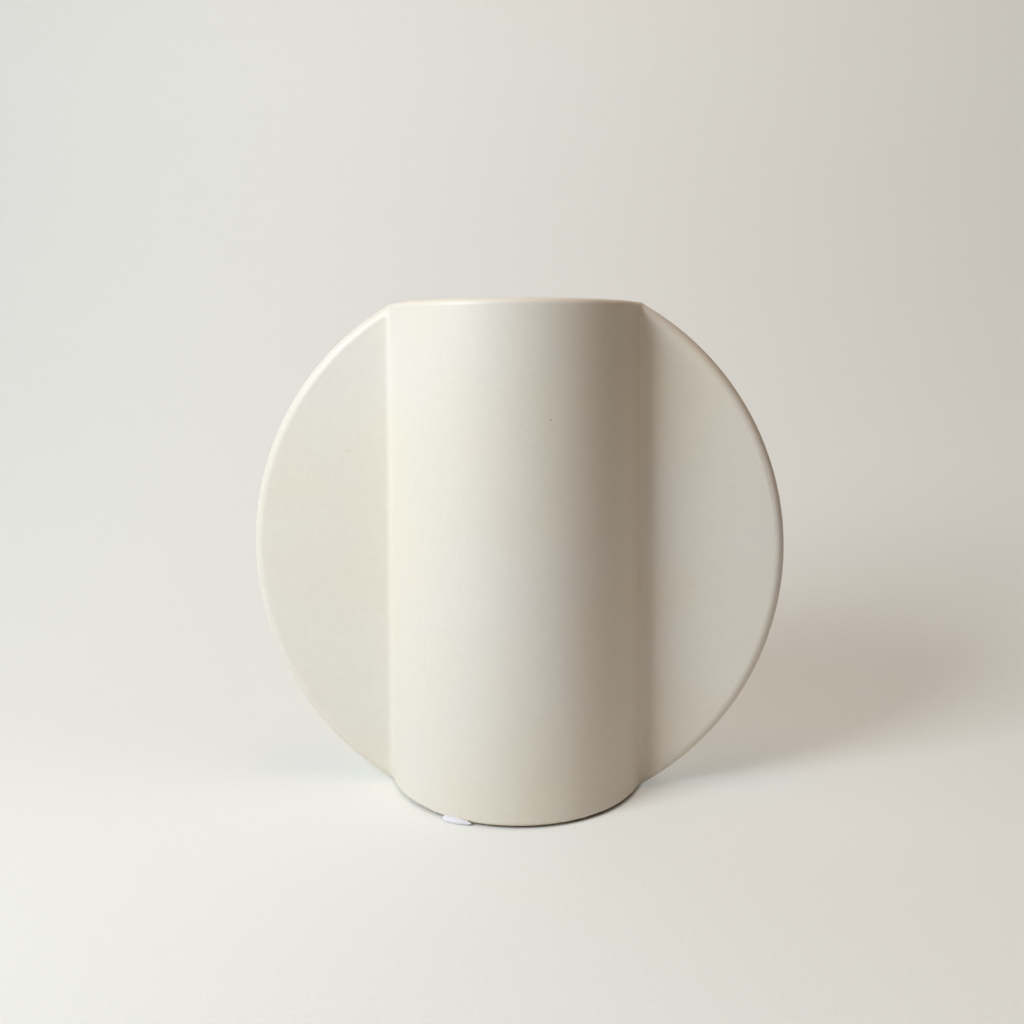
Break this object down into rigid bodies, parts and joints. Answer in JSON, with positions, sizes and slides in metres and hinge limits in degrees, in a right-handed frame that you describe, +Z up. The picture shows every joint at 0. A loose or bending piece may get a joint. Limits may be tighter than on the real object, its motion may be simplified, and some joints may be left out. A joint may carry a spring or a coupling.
{
  "type": "hanging wall vase",
  "caption": "Disc-shaped glazed ceramic wall vase with a half-round vessel on its front and a swinging ring in its back for a wall hook.",
  "frame": {"origin": "on the surface that the vase stands on, below the middle of its width and depth", "axes": "+Z up, -Y the front of the vessel, +Y the flat back that goes to the wall, +X to the right seen from the front"},
  "size_m": [0.2, 0.0506, 0.1818],
  "materials": {
    "cream_glaze": "satin cream glaze",
    "white_silicone": "matte white silicone",
    "clear_silicone": "clear silicone",
    "zinc_steel": "zinc plated",
    "brass": "turned"
  },
  "bodies": {
    "vase": {"ceramic_body": "cream_glaze", "base_foot_front_left": "white_silicone", "base_foot_front_right": "white_silicone", "base_foot_rear_left": "white_silicone", "base_foot_rear_right": "white_silicone", "wall_bumper_upper_left": "clear_silicone", "wall_bumper_upper_right": "clear_silicone", "wall_bumper_lower_left": "clear_silicone", "wall_bumper_lower_right": "clear_silicone", "hanger_strap": "zinc_steel", "hanger_screw_upper": "zinc_steel", "hanger_screw_lower": "zinc_steel", "threaded_insert_upper": "brass", "threaded_insert_lower": "brass"},
    "ring": {"hanger_ring": "zinc_steel"}
  },
  "joints": [
    {"name": "ring_swing", "type": "hinge", "parent": "vase", "child": "ring", "pos_m": [0, 0.01975, 0.1458], "axis": [1, 0, 0], "range_deg": [0, 180]}
  ]
}
